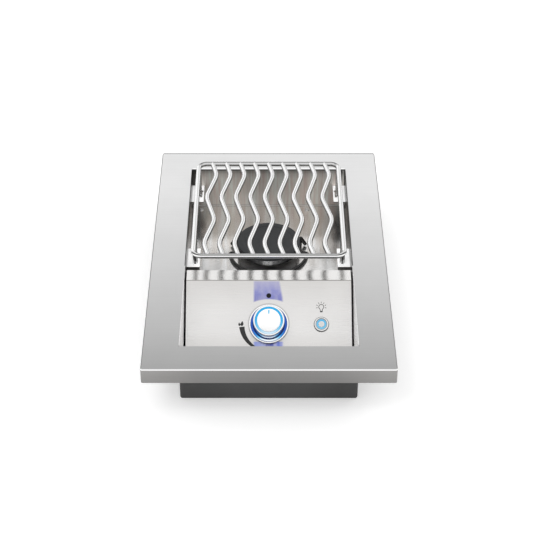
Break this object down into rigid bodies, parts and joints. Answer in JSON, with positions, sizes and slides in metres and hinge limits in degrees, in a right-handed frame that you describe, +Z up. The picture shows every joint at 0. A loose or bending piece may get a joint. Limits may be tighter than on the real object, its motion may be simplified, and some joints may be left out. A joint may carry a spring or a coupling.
{
  "type": "built in side burner",
  "caption": "Drop-in gas side burner for an outdoor counter: a steel surround, a round burner in a polished well under a lift-off wavy grate, and a sloping panel with a lit knob and button.",
  "frame": {"origin": "under the middle of the box's bottom face, which is also the middle of the part seen from above", "axes": "+Y to the back, away from the knob, +Z up, +X to the right seen from the knob's side"},
  "size_m": [0.3556, 0.5588, 0.1219],
  "materials": {
    "surround_steel": "fine brushed",
    "box_paint": "dark satin coating",
    "well_steel": "polished",
    "panel_steel": "fine brushed, polished top strip",
    "shelf_steel": "bright",
    "grate_rod": "polished",
    "cap_enamel": "matte enamel",
    "head_metal": "machined",
    "cast_metal": "cast",
    "wire_enamel": "gloss enamel",
    "plated_steel": "zinc plated",
    "fastener_steel": "satin",
    "dark_screw": "black oxide",
    "spring_steel": "bright wire",
    "valve_brass": "machined",
    "valve_alloy": "die cast",
    "gas_tube": "drawn",
    "ceramic": "glazed ceramic",
    "lead_cover": "silicone",
    "module_plastic": "textured",
    "knob_chrome": "polished",
    "knob_white": "glossy",
    "pointer_ink": "glossy",
    "lit_guide": "translucent, lit from behind",
    "circuit": "coated board"
  },
  "bodies": {
    "surround_and_box": {"bezel_led_board": "circuit", "bezel_light_guide": "lit_guide", "bezel_ring": "knob_chrome", "bracket_rivets": "fastener_steel", "burner_base": "cast_metal", "burner_box": "box_paint", "burner_head": "head_metal", "burner_ring": "wire_enamel", "burner_struts": "wire_enamel", "control_panel": "panel_steel", "electrode_insulator": "ceramic", "grate_bracket_front_left": "shelf_steel", "grate_bracket_front_right": "shelf_steel", "grate_bracket_rear_left": "shelf_steel", "grate_bracket_rear_right": "shelf_steel", "igniter_lead": "lead_cover", "ignition_electrode": "spring_steel", "inlet_fitting": "valve_brass", "inlet_flare_nut": "valve_brass", "inlet_locknut": "valve_brass", "inlet_tube": "gas_tube", "light_button_housing": "knob_chrome", "light_button_lens": "lit_guide", "light_button_nut": "module_plastic", "light_button_spring": "spring_steel", "light_driver": "module_plastic", "light_lead": "lead_cover", "light_switch": "module_plastic", "module_screws": "plated_steel", "orifice_spud": "valve_brass", "panel_screw": "dark_screw", "panel_stay": "plated_steel", "spark_module": "module_plastic", "trim_surround": "surround_steel", "valve_body": "valve_alloy", "valve_bonnet": "valve_alloy", "valve_bracket": "plated_steel", "valve_screws": "plated_steel", "venturi_tube": "plated_steel", "well_back_wall": "well_steel", "well_floor": "well_steel", "well_front_wall": "well_steel", "well_screws": "fastener_steel", "well_wall_left": "well_steel", "well_wall_right": "well_steel"},
    "lift_off_grate": {"grate_frame": "grate_rod", "grate_bars": "grate_rod", "grate_legs": "grate_rod"},
    "lift_off_cap": {"burner_cap": "cap_enamel"},
    "gas_plug": {"valve_plug": "valve_brass", "stem_spring": "spring_steel"},
    "knob": {"valve_stem": "valve_brass", "knob_body": "knob_chrome", "knob_light_ring": "lit_guide", "knob_face": "knob_white", "knob_pointer": "pointer_ink", "knob_clip": "spring_steel"},
    "light_button": {"light_button_cap": "knob_white"},
    "air_shutter": {"air_shutter": "plated_steel"}
  },
  "joints": [
    {"name": "grate_lift", "type": "slide", "parent": "surround_and_box", "child": "lift_off_grate", "axis": [0, 0, 1], "range_m": [0, 0.1]},
    {"name": "burner_cap_lift", "type": "slide", "parent": "surround_and_box", "child": "lift_off_cap", "axis": [0, 0, 1], "range_m": [0, 0.04]},
    {"name": "knob_turn", "type": "hinge", "parent": "surround_and_box", "child": "gas_plug", "pos_m": [0, -0.11361, 0.04461], "axis": [0, -0.6428, 0.766], "range_deg": [0, 210]},
    {"name": "knob_push", "type": "slide", "parent": "gas_plug", "child": "knob", "axis": [0, 0.6428, -0.766], "range_m": [0, 0.004], "stiffness_N_per_m": 900, "springref_m": -0.005, "deforming": ["stem_spring"]},
    {"name": "light_button_press", "type": "slide", "parent": "surround_and_box", "child": "light_button", "axis": [0, 0.6428, -0.766], "range_m": [0, 0.002], "stiffness_N_per_m": 1000, "springref_m": -0.002, "deforming": ["light_button_spring"]},
    {"name": "air_shutter_turn", "type": "hinge", "parent": "surround_and_box", "child": "air_shutter", "pos_m": [0, -0.05, 0.014], "axis": [0, 1, 0], "range_deg": [0, 60]}
  ]
}
